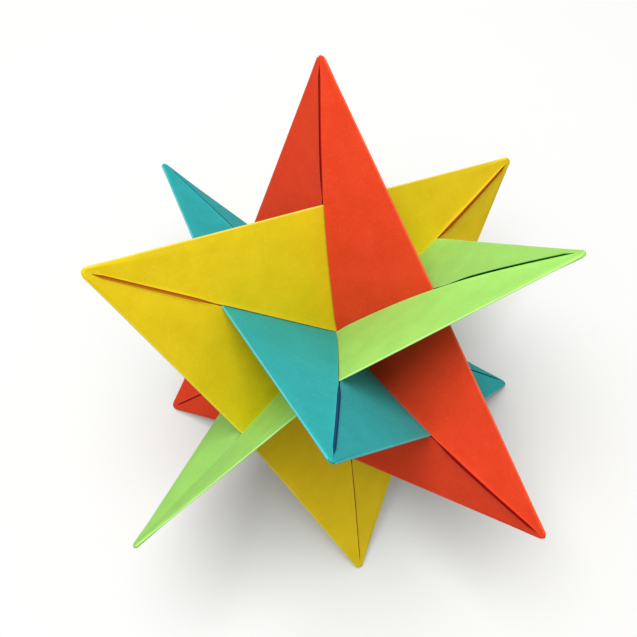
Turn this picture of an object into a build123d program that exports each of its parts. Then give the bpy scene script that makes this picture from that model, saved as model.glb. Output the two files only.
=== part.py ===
"""A folded paper star: four triangles that cross through one centre, made of twelve folded units.

Each unit is one square sheet folded to a flat kite with a slot down both faces. The sharp tip is an
arm of the star. The two short sides end in tabs, and each tab is held in a slot of another unit.
Three units of one colour make one large triangle.
"""
import os
from math import acos, atan2, cos, hypot, radians, sin

from build123d import *

# Driving dimensions, in millimetres.
sheet_side = 150.0                  # the square that one unit is folded from
paper = 0.1                         # one layer of paper
reach = sheet_side / 2              # from the star's centre to a tip
cube_half = reach / 2 ** 0.5        # half the cube whose edge middles the tips point at
slot_depth = 0.5                    # share of a slot that the neighbours' corners fill

unit_thickness = 1.4                # across both flaps, with a tab held on each face
core_thickness = 2 * paper          # the two plies between the flaps
tab_thickness = 4 * paper           # all layers of a unit pressed together
pocket_middle = (core_thickness + unit_thickness - 2 * paper) / 4

tip_radius = 1.3                    # the many layers at the tip make it blunt
edge_fold = 1.2                     # solid width along the long folded edges
side_gap = 1.35                     # how far a unit's short side stays off the middle of its neighbour
gather = 2.0                        # width in which the layers close up along a short side
slot_half_width = 0.5               # at the star's centre
slot_bulge = 0.6                    # at its widest
slot_end = 1.6                      # closed length at the tip
core_strip = 0.4                    # half width of the plies' overlap under the slot

# A tab's outline in its neighbour's pocket: along the slot and away from it, as parts of the
# length of a short side. Its wedge is 30 degrees wide, as the sheet's own corner leaves it.
tab_start = 0.14
tab_end = 0.97
tab_points = ((0.97, 0.26), (0.85, 0.47), (0.22, 0.10))
neck_reach = 2.2
neck_foot = 1.0

# Each unit's tip points at the middle of one edge of a cube. Assembling by hand left each tip a
# little off that place, by the second triple, in millimetres. The four feet stay level.
units = {
    "yellow_unit_1": ((-1, 0, 1), (-4.0, -3.0, -4.5)),
    "yellow_unit_2": ((1, 1, 0), (-1.5, -0.5, 0.5)),
    "yellow_unit_3": ((0, -1, -1), (4.5, -1.0, 0.0)),
    "red_unit_1": ((0, 1, 1), (-1.5, -5.0, 3.5)),
    "red_unit_2": ((1, -1, 0), (-3.0, -3.5, -0.5)),
    "red_unit_3": ((-1, 0, -1), (0.0, -2.0, 0.0)),
    "green_unit_1": ((1, 0, 1), (3.0, -3.5, -3.0)),
    "green_unit_2": ((-1, -1, 0), (0.5, -3.0, -1.5)),
    "green_unit_3": ((0, 1, -1), (-2.0, -1.0, 0.0)),
    "blue_unit_1": ((0, -1, 1), (-1.5, 2.5, 2.0)),
    "blue_unit_2": ((-1, 1, 0), (3.5, 2.5, -0.5)),
    "blue_unit_3": ((1, 0, -1), (0.0, 2.5, 0.0)),
}

pointing = {name: Vector(*direction) for name, (direction, lean) in units.items()}
tips = {name: pointing[name] * cube_half + Vector(*lean) for name, (direction, lean) in units.items()}


def partners(name):
    """The two other units of the same colour."""
    colour = name.split("_")[0]
    return [other for other in units if other.startswith(colour) and other != name]


def holder(name, partner):
    """The unit whose slot holds the corner where two units of one colour meet."""
    between = pointing[name] + pointing[partner]
    return next(other for other in units if (pointing[other] - between).length < 0.1)


def half_plane(name, partner):
    """Plane of the half of a unit on its partner's side: x up the slot, y towards the blunt corner."""
    along = tips[name].normalized()
    corner = tips[holder(name, partner)]
    return Plane(origin=(0, 0, 0), x_dir=along, z_dir=along.cross(corner).normalized())


def blunt_corner(name, partner):
    """The blunt corner in the half's own plane."""
    corner = tips[holder(name, partner)] * slot_depth
    return half_plane(name, partner).to_local_coords(corner)


def half_outline(name, partner):
    """Corners of one half: on the slot near the centre and near the tip, the tip, the blunt corner."""
    corner = blunt_corner(name, partner)
    cap_middle = tips[name].length - tip_radius
    to_corner = hypot(corner.X - cap_middle, corner.Y)
    touch = atan2(corner.Y, corner.X - cap_middle) - acos(tip_radius / to_corner)
    touch_point = Vector(cap_middle + tip_radius * cos(touch), tip_radius * sin(touch))
    up_edge = (touch_point - corner).normalized()
    near_centre = Vector(side_gap / sin(atan2(corner.Y, corner.X)), 0)
    return [near_centre, Vector(cap_middle, 0), touch_point, corner + up_edge * side_gap]


def pocket_outline(name, partner):
    """Corners of the space between flap and core, which the slot opens."""
    near_centre, cap_middle, touch_point, corner = half_outline(name, partner)
    up_edge = (touch_point - corner).normalized()
    down_side = (near_centre - corner).normalized()
    inner_corner = corner + up_edge * gather + down_side * edge_fold
    start = near_centre + Vector(gather / sin(radians(60)), 0)
    end = cap_middle - Vector(edge_fold / sin(radians(30)) - tip_radius, 0)
    across = Vector(0, slot_half_width)
    return [start - across, end - across, end, inner_corner, start]


def slot_profile(name):
    """Half of the slot's outline, from the centre to near the tip."""
    end = tips[name].length - slot_end
    with BuildLine() as line:
        mouth = Line((0, -slot_half_width), (0, slot_half_width))
        lip = ThreePointArc(mouth @ 1, (end * 0.6, slot_bulge), (end, 0))
        Line(lip @ 1, mouth @ 0)
    return line.line


def tab_section(name, partner):
    """Where a tab goes: the pocket's plane and side, and the way in which the unit comes to it."""
    host = holder(name, partner)
    slot_line = tips[host].normalized()
    coming = (tips[name] - slot_line * tips[name].dot(slot_line)).normalized()
    pocket = min((half_plane(host, other) for other in partners(host)), key=lambda p: coming.dot(p.y_dir))
    side = 1 if coming.dot(pocket.z_dir) > 0 else -1
    return pocket, side, Vector(coming.dot(pocket.y_dir), coming.dot(pocket.z_dir))


def folded_unit(name):
    """One folded sheet, as a closed solid about the star's centre."""
    half = unit_thickness / 2
    with BuildPart() as unit:
        for partner in partners(name):
            plane = half_plane(name, partner)
            with BuildSketch(plane.offset(-half)):
                Polygon(*half_outline(name, partner), align=None)
            extrude(amount=unit_thickness)
        # The tip is where both halves end.
        plane = half_plane(name, partners(name)[0])
        with BuildSketch(plane.offset(-half)):
            with Locations((tips[name].length - tip_radius, 0)):
                Circle(tip_radius)
        extrude(amount=unit_thickness)
        for partner in partners(name):
            plane = half_plane(name, partner)
            for floor_level in (core_thickness / 2, paper - half):
                with BuildSketch(plane.offset(floor_level)):
                    Polygon(*pocket_outline(name, partner), align=None)
                extrude(amount=half - paper - core_thickness / 2, mode=Mode.SUBTRACT)
            for floor_level in (core_thickness / 2, -half):
                with BuildSketch(plane.offset(floor_level)):
                    make_face(slot_profile(name))
                extrude(amount=half - core_thickness / 2, mode=Mode.SUBTRACT)
        # The core runs unbroken under both slots.
        with BuildSketch(half_plane(name, partners(name)[0]).offset(-core_thickness / 2)):
            with Locations(((side_gap + tips[name].length) / 2, 0)):
                Rectangle(tips[name].length - 2 * side_gap - 2 * tip_radius, 2 * core_strip)
        extrude(amount=core_thickness)
        for partner in partners(name):
            pocket, side, coming = tab_section(name, partner)
            length = tips[holder(name, partner)].length * slot_depth
            level = side * pocket_middle
            bend = coming * (level / coming.Y)
            across = Plane(pocket.x_dir * length * tab_start, x_dir=pocket.y_dir, z_dir=pocket.x_dir)
            with BuildSketch(across):
                with BuildLine():
                    Polyline(coming * neck_reach, bend, (bend.X + neck_foot, level))
                trace(line_width=tab_thickness)
            extrude(amount=length * (tab_end - tab_start))
            with BuildSketch(pocket.offset(level - tab_thickness / 2)):
                root = bend.X + neck_foot / 2
                corners = [(length * x, length * y) for x, y in tab_points]
                Polygon((length * tab_start, root), (length * tab_end, root), *corners, align=None)
            extrude(amount=tab_thickness)
    return unit.part


os.makedirs("parts", exist_ok=True)
folded = {name: folded_unit(name) for name in units}
height = -min(sheet.bounding_box().min.Z for sheet in folded.values())
for name, sheet in folded.items():
    placed = Pos(0, 0, height) * sheet
    placed.label = name
    export_step(placed, f"parts/{name}.step")
print("centre stands at", round(height, 2))
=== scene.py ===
# %% [markdown]
# # A folded paper star
# Twelve squares of coloured paper, each folded to a flat kite with a slot down both faces, hold
# each other by tabs in slots. The packed model gives each unit's place and size. Every unit is
# made again here as real folded paper: a thin sheet that wraps round a core, with lips that bow.

# %% The frame
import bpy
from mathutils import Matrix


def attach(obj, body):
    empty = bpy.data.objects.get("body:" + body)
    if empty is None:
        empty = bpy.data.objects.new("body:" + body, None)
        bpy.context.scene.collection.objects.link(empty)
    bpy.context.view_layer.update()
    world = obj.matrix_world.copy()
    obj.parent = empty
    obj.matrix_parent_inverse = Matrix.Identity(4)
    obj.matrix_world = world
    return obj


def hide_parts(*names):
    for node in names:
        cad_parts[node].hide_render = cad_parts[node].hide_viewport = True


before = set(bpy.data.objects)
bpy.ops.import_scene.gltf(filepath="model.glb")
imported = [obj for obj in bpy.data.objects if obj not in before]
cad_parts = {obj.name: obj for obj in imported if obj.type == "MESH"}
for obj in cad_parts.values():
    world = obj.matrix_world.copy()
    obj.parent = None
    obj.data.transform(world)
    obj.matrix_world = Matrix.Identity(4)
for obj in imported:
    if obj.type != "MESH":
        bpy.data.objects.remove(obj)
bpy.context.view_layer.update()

from math import cos, exp, pi, radians, sin

import bpy
from mathutils import Matrix, Vector

# %% [markdown]
# ## Measuring the arms
# A maker checks a star by its tips. Each tip is the far end of its unit's solid, seen from the
# centre where all four triangles cross, so the tips are read off the solids and not typed in.
# The centre stands straight above the origin, at a height that is stated here because no solid
# has a point there.

# %% Centre and tips
MM = 0.001
CENTRE = Vector((0, 0, 53.58)) * MM
TIP_DEPTH = 0.3 * MM                 # points this near to the furthest one belong to the tip
COLOURS = ("yellow", "red", "green", "blue")
UNITS = [f"{colour}_unit_{number}" for colour in COLOURS for number in (1, 2, 3)]


def colour_of(unit):
    return unit.split("_")[0]


def far_end(unit):
    """Middle of the solid's points that lie furthest from the star's centre."""
    points = [vertex.co for vertex in bpy.data.objects[unit].data.vertices]
    furthest = max((point - CENTRE).length for point in points)
    tip_points = [point for point in points if (point - CENTRE).length > furthest - TIP_DEPTH]
    return sum(tip_points, Vector()) / len(tip_points)


TIP = {unit: far_end(unit) for unit in UNITS}
for unit, tip in TIP.items():
    print(unit, "reaches", round((tip - CENTRE).length / MM, 1), "mm")

# %% [markdown]
# ## Which unit holds which
# Two units of one colour meet at a blunt corner, and that corner sits in the slot of a third unit
# of another colour. It is the one whose arm points between theirs, so the directions alone tell.

# %% Partners, holders and the side that faces up


def partners(unit):
    colour = colour_of(unit)
    return [other for other in UNITS if other.startswith(colour) and other != unit]


def arm(unit):
    return (TIP[unit] - CENTRE).normalized()


def holder(unit, partner):
    between = (arm(unit) + arm(partner)).normalized()
    return max(UNITS, key=lambda other: between.dot(arm(other)))


def upper_side(colour):
    """Normal of a colour's triangle, on the side that is seen from above."""
    first, second, third = (arm(f"{colour}_unit_{number}") for number in (1, 2, 3))
    normal = (second - first).cross(third - first).normalized()
    return normal if normal.z > 0 else -normal


UP = {colour: upper_side(colour) for colour in COLOURS}
for unit in UNITS:
    print(unit, "sits in", [holder(unit, other) for other in partners(unit)])

# %% [markdown]
# ## How paper lies after folding
# Paper is never flat again once tabs are pushed into it. The unit bows to one side, its slot
# stands open between the inserted corner and the tip, and the corner isn't always pushed to the
# middle of the slot. No two hand-folded units are alike, so these are named here for each of them:
# the bow and half the open slot in millimetres, and the corner's place as a share of the slot.

# %% Bow, slot and corner of each unit
BOW = {
    "yellow_unit_1": 0.6, "yellow_unit_2": 2.0, "yellow_unit_3": 0.8,
    "red_unit_1": 2.2, "red_unit_2": 2.4, "red_unit_3": 0.8,
    "green_unit_1": 2.8, "green_unit_2": -0.6, "green_unit_3": 0.6,
    "blue_unit_1": 1.6, "blue_unit_2": 0.6, "blue_unit_3": 0.8,
}
OPEN = {
    "yellow_unit_1": 0.55, "yellow_unit_2": 0.75, "yellow_unit_3": 0.20,
    "red_unit_1": 0.42, "red_unit_2": 0.60, "red_unit_3": 0.25,
    "green_unit_1": 0.75, "green_unit_2": 0.07, "green_unit_3": 0.35,
    "blue_unit_1": 0.52, "blue_unit_2": 0.35, "blue_unit_3": 0.45,
}
HALF_WAY = 0.5
PUSHED = {
    "green_unit_1": 0.465, "yellow_unit_2": 0.53, "green_unit_2": 0.485, "blue_unit_1": 0.49,
}
print("bows from", min(BOW.values()), "to", max(BOW.values()), "mm")
print("slots open to", 2 * max(OPEN.values()), "mm")


def smooth(low, high, value):
    """0 at low, 1 at high and an even curve between, also when low is the larger."""
    share = min(max((value - low) / (high - low), 0), 1)
    return share * share * (3 - 2 * share)


def bow_at(unit, share):
    """How far a unit's slot stands off its straight line, at a share of the way to the tip."""
    return UP[colour_of(unit)] * (BOW[unit] * MM * sin(pi * share))


def slot_point(unit, share):
    return CENTRE.lerp(TIP[unit], share) + bow_at(unit, share)


# %% [markdown]
# ## How wide the slot stands
# The slot is shut at the tip, where the folds are pressed hard. In its inner half the neighbour's
# corner and tab hold it open by the same amount on every unit. Past the corner nothing holds it: on
# some units it gapes there and on others it nearly shuts, and it always narrows towards the tip.

# %% Half the slot's width
SLOT_STOP = 1.5 * MM                 # shut this near to the tip
SLOT_CLOSING = 3.5 * MM              # and open a little further in
TAB_GAP = 0.40 * MM
HELD, LET_GO = 0.46, 0.58            # the tab's hold ends between these shares of the slot
TIGHT, FREE = 0.47, 0.62             # and the gape grows between these
GAPE, GAPE_LOSS = 1.25, 0.5          # its size at the centre, and what it loses to the tip


def slot_gap(unit, along, length):
    shut = smooth(SLOT_STOP, SLOT_STOP + SLOT_CLOSING, (1 - along) * length)
    free = smooth(TIGHT, FREE, along) * (GAPE - GAPE_LOSS * along)
    held = TAB_GAP * smooth(LET_GO, HELD, along)
    return shut * max(held, OPEN[unit] * MM * free)


print("held open to", 2 * TAB_GAP / MM, "mm by a tab")

# %% [markdown]
# ## How thick the folded paper is
# Several plies lie on each other, so a unit is thick in its middle, thinner at the folded edge and
# pinched thin where its short side enters the neighbour. Near the tip more plies meet and add a
# little, and the very end is rounded off. Along an open slot the lip curls up.

# %% Half the thickness
PAPER = 0.14 * MM                    # the outer sheet
BODY = 0.44 * MM                     # half the stack in the middle of a unit
EDGE = 0.22 * MM                     # and at the folded edge
EDGE_START = 0.86                    # share of the way out where the stack starts to thin
PINCH = 0.17 * MM                    # half the stack inside the neighbour's slot
PINCHED, SPRUNG = 0.7 * MM, 4.5 * MM     # distances from the short side
SIDE_SLANT = 0.87                    # the short side is crossed at a slant
TIP_LAYERS = 0.06 * MM               # what the extra plies at the tip add
LAYERS_START, LAYERS_FULL = 14 * MM, 2 * MM
LAYERS_SIDE = 9 * MM
TIP_END = 0.6 * MM
LIP_CURL, LIP_WIDTH, LIP_GAP = 0.22 * MM, 0.03, 0.5 * MM
THINNEST = 0.02 * MM


def half_thickness(across, along, length, gap):
    body = EDGE + (BODY - EDGE) * smooth(1.0, EDGE_START, across)
    from_side = along * length * SIDE_SLANT
    body = PINCH + (body - PINCH) * smooth(PINCHED, SPRUNG, from_side)
    to_tip = (1 - along) * length
    near_tip = smooth(LAYERS_START, LAYERS_FULL, to_tip)
    body += TIP_LAYERS * near_tip * smooth(LAYERS_SIDE, LAYERS_FULL, across * to_tip)
    flat_end = 1 - min(to_tip / TIP_END, 1)
    curl = LIP_CURL * exp(-(across / LIP_WIDTH) ** 2) * gap / LIP_GAP
    return body * (1 - flat_end ** 2) ** 0.5 + curl + THINNEST


print("a unit is", round(2 * (BODY + THINNEST) / MM, 2), "mm thick in its middle")

# %% [markdown]
# ## Half a unit
# A half is a triangle: the slot, the short side that goes into the neighbour, and the long folded
# edge. Straight lines drawn from the short side to the tip cover it without a gap. A wrapped sheet
# is then a section, front lip, folded edge and back lip, carried along those lines. A flat kite
# with a Solidify modifier would have square edges, where folded paper is round.

# %% The half's surface
ACROSS = [0, 0.006, 0.016, 0.035, 0.07, 0.12, 0.2, 0.3, 0.42, 0.55, 0.68, 0.8]
ACROSS += [0.88, 0.94, 0.975, 0.992, 1]
ALONG = [0.003, 0.01, 0.02, 0.035, 0.05, 0.07]
ALONG += [0.1 + 0.86 * i / 34 for i in range(35)]
ALONG += [0.972, 0.982, 0.990, 0.996, 1]
FOLD_STEPS = 5
TIP_RADIUS = 0.95 * MM
TIP_TURN = radians(60)
BOW_FADE, GAP_FADE = 1.4, 4          # how fast each dies away from the slot to the edge
LEAST_PLY = 0.01 * MM


class Half:
    """One half of a unit: its directions, and points on and off its middle surface."""

    def __init__(self, unit, partner):
        self.unit = unit
        self.host = holder(unit, partner)
        self.depth = PUSHED.get(self.host, HALF_WAY)
        corner = slot_point(self.host, self.depth)
        self.axis = arm(unit)
        self.out = (corner - CENTRE - self.axis * (corner - CENTRE).dot(self.axis)).normalized()
        self.normal = self.axis.cross(self.out).normalized()
        edge = (TIP[unit] - corner).normalized()
        self.edge_out = (self.out - edge * self.out.dot(edge)).normalized()
        self.length = (TIP[unit] - CENTRE).length

    def gap(self, along):
        return slot_gap(self.unit, along, self.length)

    def tip_point(self, across):
        """The tip is an arc, from the slot's end round to the folded edge."""
        turn = TIP_TURN * across
        middle = TIP[self.unit] - self.axis * TIP_RADIUS
        return middle + (self.axis * cos(turn) + self.out * sin(turn)) * TIP_RADIUS

    def middle(self, across, along):
        """A point half way through the paper: from slot to edge, and from short side to tip."""
        base = slot_point(self.host, across * self.depth)
        point = base.lerp(self.tip_point(across), along)
        bow = bow_at(self.unit, along) * (1 - across) ** BOW_FADE
        return point + bow + self.out * self.gap(along) * (1 - across) ** GAP_FADE

    def rise(self, across, along, inset):
        thick = half_thickness(across, along, self.length, self.gap(along))
        return max(thick - inset, LEAST_PLY)

    def section(self, along, inset):
        """Points from the front lip over the folded edge to the back lip."""
        shell = []
        for across in ACROSS:
            off = self.normal * self.rise(across, along, inset)
            shell.append((across, self.middle(across, along) + off))
        edge = self.middle(1, along)
        for step in range(1, FOLD_STEPS):
            turn = pi * step / FOLD_STEPS
            round_edge = self.normal * cos(turn) + self.edge_out * sin(turn)
            shell.append((1, edge + round_edge * self.rise(1, along, inset)))
        for across in reversed(ACROSS):
            off = self.normal * self.rise(across, along, inset)
            shell.append((across, self.middle(across, along) - off))
        return shell


sample = Half(UNITS[0], UNITS[1])
print("one section has", len(sample.section(HALF_WAY, 0)), "points,", len(ALONG), "sections")

# %% [markdown]
# ## From sections to skins
# Every sheet of the star is a row of closed rings, so one function joins them all. The mesh also
# carries a mark at each point: how far the dye cracks, together with a painted highlight, at the
# lips and on the folded edge. Points inside the fold are marked below zero and get painted shade,
# because light is caught there.

# %% Rings, the wrapped sheet and the core
# Below zero marks points inside the fold, which the finish paints with slot shade.
SLOT_SHADE_MARK = -1.0
# Lips and folded edge: a paler crack in the dye together with a painted highlight.
EDGE_WEAR_AND_HIGHLIGHT = {0: 0.5, 0.006: 0.12, 0.992: 0.1, 1: 0.55}
CORE_OVERLAP = 0.3 * MM              # the core's two halves overlap under the slot
CORE_HALF = 0.08 * MM
CORE_ALONG = ALONG[:-4]              # it stops short of the tip
CORE_ACROSS = ACROSS[:-2]            # and of the folded edge


def add_shell(rings, verts, faces, wear_and_painted_light):
    """Close a row of rings into a solid skin: side walls, and a strip across each end."""
    start, count = len(verts), len(rings[0])
    for ring in rings:
        for point, mark_of_wear_and_light in ring:
            verts.append(point)
            wear_and_painted_light.append(mark_of_wear_and_light)
    for row in range(len(rings) - 1):
        low = start + row * count
        high = low + count
        for i in range(count):
            j = (i + 1) % count
            faces.append((low + i, low + j, high + j, high + i))
    last = start + (len(rings) - 1) * count
    for base, flip in ((start, True), (last, False)):
        for i in range(count // 2 - 1):
            quad = (base + i, base + i + 1, base + count - 2 - i, base + count - 1 - i)
            faces.append(tuple(reversed(quad)) if flip else quad)


def wrapped_sheet(half, verts, faces, wear_and_painted_light):
    """The outer sheet, as a skin with an outside and an inside one paper's thickness apart."""
    rings = []
    for along in ALONG:
        outer = [(point, EDGE_WEAR_AND_HIGHLIGHT.get(across, 0.0)) for across, point in half.section(along, 0)]
        # The inside of the sheet is marked for painted slot shade.
        inner = [(point, SLOT_SHADE_MARK) for across, point in reversed(half.section(along, PAPER))]
        rings.append(outer + inner)
    add_shell(rings, verts, faces, wear_and_painted_light)


def core_sheet(half, verts, faces, wear_and_painted_light):
    """The plies under the slot, which show as its floor."""
    rings = []
    for along in CORE_ALONG:
        row = []
        for across in CORE_ACROSS:
            closed = half.out * half.gap(along) * (1 - across) ** GAP_FADE
            overlap = half.out * CORE_OVERLAP * (1 - across)
            row.append(half.middle(across, along) - closed - overlap)
        # The core is marked for painted slot shade all over; it shows as the slot's floor.
        front = [(point + half.normal * CORE_HALF, SLOT_SHADE_MARK) for point in row]
        back = [(point - half.normal * CORE_HALF, SLOT_SHADE_MARK) for point in reversed(row)]
        rings.append(front + back)
    add_shell(rings, verts, faces, wear_and_painted_light)


print("the core stops", round((1 - CORE_ALONG[-1]) * sample.length / MM, 1), "mm short of the tip")

# %% [markdown]
# ## The tabs
# Past its short side the sheet goes on as a wedge that lies in the neighbour's pocket. Nobody sees
# it once the star is together, but it is what holds the star, so it is made too.

# %% A tab in its pocket
TAB_START, TAB_REACH, TAB_STEPS = 0.10, 0.35, 12
TAB_ALONG = [TAB_START + TAB_REACH * i / TAB_STEPS for i in range(TAB_STEPS + 1)]
TAB_ACROSS = [0, 0.25, 0.5, 0.75, 1]
TAB_NARROW, TAB_BROAD = 0.06, 0.30   # its width grows from nothing to full between these shares
TAB_WIDTH = 0.30
TAB_CLEAR = 0.01                     # it starts this share of the half away from the slot
TAB_LEVEL = 0.19 * MM
TAB_HALF = 0.05 * MM


def tab_sheet(half, verts, faces, wear_and_painted_light):
    """A wedge that follows the curve of its pocket, between the neighbour's core and flap."""
    pockets = [Half(half.host, other) for other in partners(half.host)]
    pocket = min(pockets, key=lambda other: half.axis.dot(other.out))
    side = 1 if half.axis.dot(pocket.normal) > 0 else -1
    upper = pocket.normal * (side * TAB_LEVEL + TAB_HALF)
    lower = pocket.normal * (side * TAB_LEVEL - TAB_HALF)
    rings = []
    for along in TAB_ALONG:
        width = TAB_WIDTH * smooth(TAB_NARROW, TAB_BROAD, along)
        row = [pocket.middle(TAB_CLEAR + width * across, along) for across in TAB_ACROSS]
        front = [(point + upper, 0.0) for point in row]
        back = [(point + lower, 0.0) for point in reversed(row)]
        rings.append(front + back)
    add_shell(rings, verts, faces, wear_and_painted_light)


print("a tab reaches", round(TAB_REACH * sample.length / MM, 1), "mm along its pocket")

# %% [markdown]
# ## Shader maths in plain Python
# Paper needs several masks multiplied and mixed. Written node by node that is hard to read, so a
# small class wraps a socket and lets Python's own operators add the Math nodes.

# %% A socket that does arithmetic


class Wire:
    """An output socket. Sums and products with it add Math nodes to its tree."""

    def __init__(self, tree, socket):
        self.tree = tree
        self.socket = socket

    def math(self, operation, first, second):
        node = self.tree.nodes.new("ShaderNodeMath")
        node.operation = operation
        for socket, value in zip(node.inputs, (first, second)):
            feed(socket, value)
        return Wire(self.tree, node.outputs[0])

    def __add__(self, other):
        return self.math("ADD", self, other)

    def __radd__(self, other):
        return self.math("ADD", other, self)

    def __sub__(self, other):
        return self.math("SUBTRACT", self, other)

    def __rsub__(self, other):
        return self.math("SUBTRACT", other, self)

    def __mul__(self, other):
        return self.math("MULTIPLY", self, other)

    def __rmul__(self, other):
        return self.math("MULTIPLY", other, self)


def feed(socket, value):
    """Give a socket a link, where the value is a wire, or else a plain value."""
    if isinstance(value, Wire):
        value.tree.links.new(value.socket, socket)
    else:
        socket.default_value = value


def add_node(tree, kind, output, settings, inputs):
    """Any other node: its type, its settings first, then its sockets by name or number."""
    node = tree.nodes.new(kind)
    for key, value in settings.items():
        setattr(node, key, value)
    for key, value in inputs.items():
        feed(node.inputs[key], value)
    return Wire(tree, node.outputs[output])


print("operators", [name for name in vars(Wire) if name.startswith("__r")])

# %% [markdown]
# ## A finish under construction
# A material holds one shader, and what changes over the paper feeds only its colour, roughness and
# bump. Colours are mixed by a Mix node, which holds its mask between 0 and 1.

# %% Materials and colours
COLOUR_MIX = {"data_type": "RGBA", "clamp_factor": True}
MASK, BELOW, ABOVE, MIXED = "Factor", 6, 7, 2    # the Mix node's sockets for colours


class Finish:
    """A material and its shader."""

    def __init__(self, name):
        self.material = bpy.data.materials.new(name)
        self.material.use_nodes = True
        self.tree = self.material.node_tree
        self.shader = self.tree.nodes["Principled BSDF"]

    def node(self, kind, output, settings, inputs):
        return add_node(self.tree, kind, output, settings, inputs)

    def mix(self, mask, below, above):
        sockets = {MASK: mask, BELOW: below, ABOVE: above}
        return self.node("ShaderNodeMix", MIXED, COLOUR_MIX, sockets)

    def surface(self, name, value):
        feed(self.shader.inputs[name], value)


def from_screen(red, green, blue):
    """A colour as a painter's chart gives it, in the linear values that the shader wants."""
    def linear(value):
        value /= 255
        return value / 12.92 if value <= 0.04045 else ((value + 0.055) / 1.055) ** 2.4
    return (linear(red), linear(green), linear(blue), 1)


def shaded(colour, factor, lift):
    """The same colour, darker or lighter all over."""
    return tuple(min(channel * factor + lift, 1) for channel in colour[:3]) + (1,)


print("mid grey is", round(from_screen(128, 128, 128)[0], 3), "in linear light")

# %% [markdown]
# ## Coloured paper
# Dyed paper is matt and nearly even, but not flat in colour: pulp lies in soft clouds, single
# fibres show, and the dye cracks to a paler tone where the sheet is folded, which here also stands
# as a painted highlight on the folds. In a slot light goes from dyed face to dyed face, so the
# colour there is painted darker and fuller as painted shade. The clouds and fibres are noise at
# their true scale, and the folds use the mark that the mesh carries.

# %% The four papers
# Each has its face, the paler tone where the dye cracks that is also a painted highlight on folds,
# and the darker, fuller painted shade far in a slot.
PAPERS = {
    "yellow": (from_screen(232, 200, 0), from_screen(250, 236, 110), from_screen(216, 124, 6)),
    "red": (from_screen(232, 62, 20), from_screen(248, 128, 84), from_screen(188, 16, 8)),
    "green": (from_screen(162, 222, 104), from_screen(206, 248, 168), from_screen(14, 156, 62)),
    "blue": (from_screen(34, 170, 172), from_screen(128, 222, 220), from_screen(8, 84, 124)),
}
CLOUDS = {"Scale": 140.0, "Detail": 4.0, "Roughness": 0.6}
PULP = {"Scale": 1400.0, "Detail": 3.0, "Roughness": 0.65}
FIBRE_STRETCH = (900.0, 3800.0, 2600.0)
FIBRES = {"Scale": 1.0, "Detail": 2.0, "Distortion": 0.6}
DARKER, LIGHTER = (0.86, 0), (1.08, 0.01)    # factor and lift of the cloudy patches
CLOUD_FLOOR, CLOUD_SHARE, FIBRE_SHARE = 0.35, 1.1, 0.25
PULP_FLOOR, PULP_SHARE = 0.55, 0.9
WEAR_HIGHLIGHT_LEAST, WEAR_HIGHLIGHT_CLOUDS = 0.35, 0.5
ROUGH_LEAST, ROUGH_PULP = 0.72, 0.16
RELIEF_PULP, RELIEF_FIBRES = 0.6, 0.4
BUMP_STRENGTH, BUMP_HEIGHT = 0.22, 0.06 * MM
SPECULAR, SHEEN = 0.20, 0.03


def paper_finish(colour):
    base, pale_dye_and_highlight, slot_shade = PAPERS[colour]
    finish = Finish(f"{colour}_paper_finish")
    place = finish.node("ShaderNodeTexCoord", "Object", {}, {})
    clouds = finish.node("ShaderNodeTexNoise", 0, {}, {"Vector": place, **CLOUDS})
    pulp = finish.node("ShaderNodeTexNoise", 0, {}, {"Vector": place, **PULP})
    stretch = {"Vector": place, "Scale": FIBRE_STRETCH}
    stretched = finish.node("ShaderNodeMapping", 0, {}, stretch)
    fibres = finish.node("ShaderNodeTexNoise", 0, {}, {"Vector": stretched, **FIBRES})
    # The mesh's mark: paler crack with a painted highlight on folds, painted shade inside them.
    mark_of_wear_and_light = finish.node("ShaderNodeAttribute", "Fac", {"attribute_name": "fold_wear_highlight_and_shade"}, {})

    patches = (clouds - CLOUD_FLOOR) * CLOUD_SHARE + fibres * FIBRE_SHARE
    cloudy = finish.mix(patches, shaded(base, *DARKER), shaded(base, *LIGHTER))
    speckled = finish.mix((pulp - PULP_FLOOR) * PULP_SHARE, cloudy, pale_dye_and_highlight)
    # Folds turn paler: the dye cracks there, and a painted highlight is laid on too.
    folded = finish.mix(mark_of_wear_and_light * (WEAR_HIGHLIGHT_LEAST + clouds * WEAR_HIGHLIGHT_CLOUDS), speckled, pale_dye_and_highlight)
    # Points marked inside the fold take the painted slot shade.
    finish.surface("Base Color", finish.mix(-1 * mark_of_wear_and_light, folded, slot_shade))
    finish.surface("Roughness", ROUGH_LEAST + pulp * ROUGH_PULP)
    relief = pulp * RELIEF_PULP + fibres * RELIEF_FIBRES
    bump = {"Height": relief, "Strength": BUMP_STRENGTH, "Distance": BUMP_HEIGHT}
    finish.surface("Normal", finish.node("ShaderNodeBump", 0, {}, bump))
    finish.surface("Specular IOR Level", SPECULAR)
    finish.surface("Sheen Weight", SHEEN)
    return finish.material


MATERIAL = {colour: paper_finish(colour) for colour in COLOURS}
print("papers", list(MATERIAL))

# %% [markdown]
# ## Folding all twelve
# Every unit is the same fold, so one function makes them all and only the measures differ. The
# folded edges are shaded smooth, and only corners sharper than the limit stay crisp.

# %% The twelve units
SHARP = radians(50)


def face_outwards(piece):
    bpy.context.view_layer.objects.active = piece
    piece.select_set(True)
    bpy.ops.object.mode_set(mode="EDIT")
    bpy.ops.mesh.select_all(action="SELECT")
    bpy.ops.mesh.normals_make_consistent(inside=False)
    bpy.ops.object.mode_set(mode="OBJECT")
    piece.select_set(False)


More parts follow.
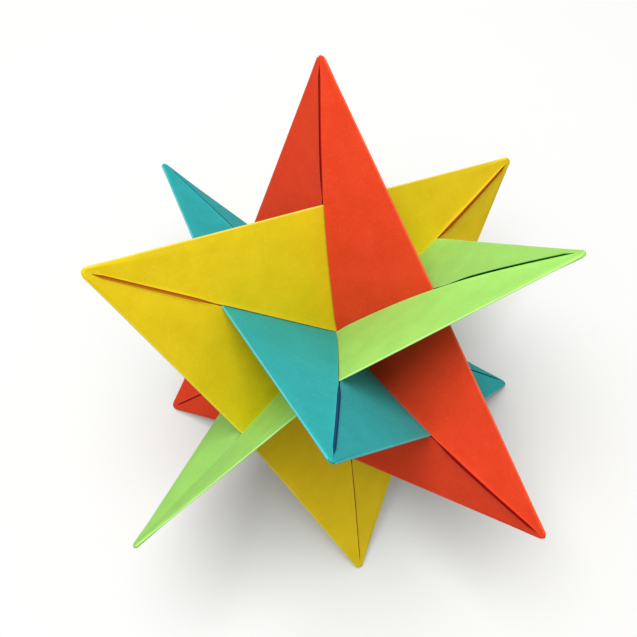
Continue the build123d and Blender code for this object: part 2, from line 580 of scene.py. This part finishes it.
def fold_unit(unit):
    verts, faces, wear_and_painted_light = [], [], []
    for partner in partners(unit):
        half = Half(unit, partner)
        wrapped_sheet(half, verts, faces, wear_and_painted_light)
        core_sheet(half, verts, faces, wear_and_painted_light)
        tab_sheet(half, verts, faces, wear_and_painted_light)
    mesh = bpy.data.meshes.new(f"folded_{unit}")
    mesh.from_pydata([tuple(point) for point in verts], [], faces)
    # The mark holds the paler crack with its painted highlight, and the painted slot shade.
    marks = mesh.attributes.new("fold_wear_highlight_and_shade", "FLOAT", "POINT")
    marks.data.foreach_set("value", wear_and_painted_light)
    mesh.validate()
    piece = bpy.data.objects.new(f"folded_{unit}", mesh)
    bpy.context.collection.objects.link(piece)
    face_outwards(piece)
    mesh.shade_smooth()
    mesh.set_sharp_from_angle(angle=SHARP)
    mesh.materials.append(MATERIAL[colour_of(unit)])
    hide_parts(unit)
    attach(piece, "root")
    return piece


pieces = [fold_unit(unit) for unit in UNITS]
print("folded", len(pieces), "units,", sum(len(piece.data.polygons) for piece in pieces), "faces")

# %% [markdown]
# ## Floor
# Bright paper is best shown on a pale sheet of card. The camera sees it pale, but pale card would
# also throw much light up into the star's shaded sides, so bounced light meets a darker one.

# %% A pale card
FLOOR_HALF = 4.0
FLOOR_SIDES = ((-1, -1), (1, -1), (1, 1), (-1, 1))
FLOOR_CORNERS = [(x * FLOOR_HALF, y * FLOOR_HALF, 0) for x, y in FLOOR_SIDES]
SEEN_CARD = (0.80, 0.80, 0.79, 1)
BOUNCED_CARD = (0.30, 0.30, 0.30, 1)
CARD_ROUGHNESS = 0.9

floor_mesh = bpy.data.meshes.new("floor")
floor_mesh.from_pydata(FLOOR_CORNERS, [], [(0, 1, 2, 3)])
floor = bpy.data.objects.new("floor", floor_mesh)
bpy.context.collection.objects.link(floor)
card = Finish("pale_card")
card_seen = card.node("ShaderNodeLightPath", "Is Camera Ray", {}, {})
card.surface("Base Color", card.mix(card_seen, BOUNCED_CARD, SEEN_CARD))
card.surface("Roughness", CARD_ROUGHNESS)
floor_mesh.materials.append(card.material)
print("floor", 2 * FLOOR_HALF, "m wide")

# %% [markdown]
# ## Light
# One wide soft lamp overhead and a dim even surround, because hard light hides paper's colour. The
# surround is white where the camera sees it, and dimmer where it lights the star.

# %% Surround and lamp
SURROUND = 0.62
LAMP_PLACE = Vector((-0.06, 0.02, 0.75))
LAMP_SIZE = 0.45
LAMP_WATTS = 4.2

world = bpy.context.scene.world or bpy.data.worlds.new("surround")
bpy.context.scene.world = world
world.use_nodes = True
sky = world.node_tree.nodes["Background"]
sky_seen = add_node(world.node_tree, "ShaderNodeLightPath", "Is Camera Ray", {}, {})
feed(sky.inputs["Color"], (1, 1, 1, 1))
feed(sky.inputs["Strength"], SURROUND + sky_seen * (1 - SURROUND))

lamp_data = bpy.data.lights.new("overhead_lamp", "AREA")
lamp_data.shape = "DISK"
lamp_data.size = LAMP_SIZE
lamp_data.energy = LAMP_WATTS
lamp = bpy.data.objects.new("overhead_lamp", lamp_data)
lamp.location = LAMP_PLACE
lamp.rotation_euler = (CENTRE - LAMP_PLACE).to_track_quat("-Z", "Y").to_euler()
bpy.context.collection.objects.link(lamp)
print("lamp", round((LAMP_PLACE - CENTRE).length, 2), "m from the star")

# %% [markdown]
# ## Camera
# It stands close above the star and looks steeply down, which makes the near tips large. The line
# of sight and the sideways direction are named. The second is squared to the first, and the upward
# direction follows from both.

# %% The camera
EYE_OFFSET = Vector((1.0, -101.6, 246.7)) * MM
LOOKING = Vector((-0.0215, 0.3944, -0.9187)).normalized()
TO_THE_RIGHT = Vector((0.9993, -0.0208, -0.0323))
VIEW_ANGLE = radians(35.8)
NEAREST = 0.01

sideways = (TO_THE_RIGHT - LOOKING * TO_THE_RIGHT.dot(LOOKING)).normalized()
upwards = sideways.cross(LOOKING)
turned = Matrix((sideways, upwards, -LOOKING)).transposed().to_4x4()
camera_data = bpy.data.cameras.new("camera")
camera_data.angle = VIEW_ANGLE
camera_data.clip_start = NEAREST
camera = bpy.data.objects.new("camera", camera_data)
camera.matrix_world = Matrix.Translation(CENTRE + EYE_OFFSET) @ turned
bpy.context.collection.objects.link(camera)
bpy.context.scene.camera = camera
bpy.context.scene.view_settings.view_transform = "Standard"
print("camera", round(EYE_OFFSET.length, 3), "m from the centre")

# %% [markdown]
# ## The end
# The folded star has to keep the packed model's size.

# %% The end
bpy.context.view_layer.update()
